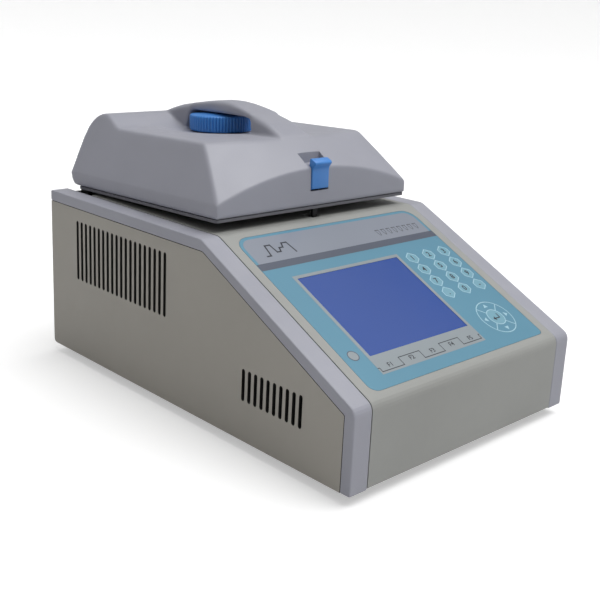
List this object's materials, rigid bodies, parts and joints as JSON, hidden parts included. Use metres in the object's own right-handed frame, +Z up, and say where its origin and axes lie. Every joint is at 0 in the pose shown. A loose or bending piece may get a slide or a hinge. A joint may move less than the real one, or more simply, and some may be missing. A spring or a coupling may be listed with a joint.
{
  "type": "thermal cycler",
  "caption": "Benchtop thermal cycler: sloped housing with a membrane control panel, a hinged heated lid with a handle bridge over a blue pressure knob, and a blue latch.",
  "frame": {"origin": "centre of the footprint, on the plane that the rubber feet stand on", "axes": "+X to the instrument's right as its user faces it, +Y to the back, +Z up"},
  "size_m": [0.276, 0.4078, 0.2525],
  "materials": {
    "grey_plastic": "satin textured cool grey",
    "pale_plastic": "satin textured pale grey",
    "beige_plastic": "fine textured warm grey paint",
    "dark_plastic": "matt charcoal",
    "blue_plastic": "satin blue",
    "overlay_film": "printed membrane film",
    "display_glass": "blue display window",
    "rubber": "black",
    "aluminium": "bead-blasted",
    "steel": "plated",
    "circuit_board": "solder mask",
    "white_ceramic": "white",
    "insulation": "foam and silicone"
  },
  "bodies": {
    "base": {"centre_cover": "pale_plastic", "keypad_overlay": "overlay_film", "display_window": "display_glass", "lcd_module": "dark_plastic", "control_board": "circuit_board", "main_board": "circuit_board", "power_supply": "steel", "left_side_trim": "grey_plastic", "right_side_trim": "grey_plastic", "left_side_panel": "beige_plastic", "right_side_panel": "beige_plastic", "base_tray": "dark_plastic", "front_left_foot": "rubber", "front_right_foot": "rubber", "rear_left_foot": "rubber", "rear_right_foot": "rubber", "rear_panel": "beige_plastic", "rear_screw_1": "steel", "rear_screw_2": "steel", "rear_screw_3": "steel", "rear_screw_4": "steel", "fan_guard": "steel", "fan_frame": "dark_plastic", "power_inlet": "dark_plastic", "switch_frame": "dark_plastic", "sample_block": "aluminium", "block_bezel": "dark_plastic", "block_gasket": "rubber", "peltier_module_1": "white_ceramic", "peltier_module_2": "white_ceramic", "peltier_module_3": "white_ceramic", "peltier_module_4": "white_ceramic", "heat_sink": "aluminium", "left_hinge_bracket": "steel", "right_hinge_bracket": "steel", "hinge_rod": "steel", "latch_strike": "steel", "block_frame": "dark_plastic"},
    "lid": {"lid_cover": "grey_plastic", "lid_pan": "dark_plastic", "lid_seal": "rubber", "left_hinge_arm": "steel", "right_hinge_arm": "steel", "screw_bearing_plate": "steel", "guide_post_1": "steel", "guide_post_2": "steel", "latch_pin": "steel"},
    "knob": {"pressure_knob": "blue_plastic", "pressure_screw": "steel"},
    "heated_plate_assembly": {"plate_carrier": "steel", "insulation_block": "insulation", "heater_mat": "insulation", "heated_plate": "aluminium"},
    "latch": {"latch_lever": "blue_plastic", "latch_hook": "steel"},
    "power_switch": {"power_switch_rocker": "rubber"},
    "fan": {"fan_rotor": "dark_plastic"}
  },
  "joints": [
    {"name": "lid_hinge", "type": "hinge", "parent": "base", "child": "lid", "pos_m": [0, 0.19, 0.1782], "axis": [-1, 0, 0], "range_deg": [-1.8, 80]},
    {"name": "knob_turn", "type": "hinge", "parent": "lid", "child": "knob", "pos_m": [0, 0.11796, 0.22268], "axis": [0, 0.0314, 0.9995], "range_deg": [-360, 360]},
    {"name": "plate_slide", "type": "slide", "parent": "lid", "child": "heated_plate_assembly", "axis": [0, 0.0314, 0.9995], "range_m": [-0.003, 0.003]},
    {"name": "latch_pivot", "type": "hinge", "parent": "lid", "child": "latch", "pos_m": [0, -0.01347, 0.1984], "axis": [1, 0, 0], "range_deg": [0, 8], "stiffness_Nm_per_rad": 0.5, "springref_deg": -1.15},
    {"name": "power_switch", "type": "hinge", "parent": "base", "child": "power_switch", "pos_m": [0.096, 0.19645, 0.042], "axis": [1, 0, 0], "range_deg": [-12, 0]},
    {"name": "fan_spin", "type": "hinge", "parent": "base", "child": "fan", "pos_m": [0, 0.18715, 0.092], "axis": [0, 1, 0], "continuous": true}
  ],
  "couplings": [
    {"joint": "knob_turn", "follows": "plate_slide", "rad_per_m": 2090}
  ]
}
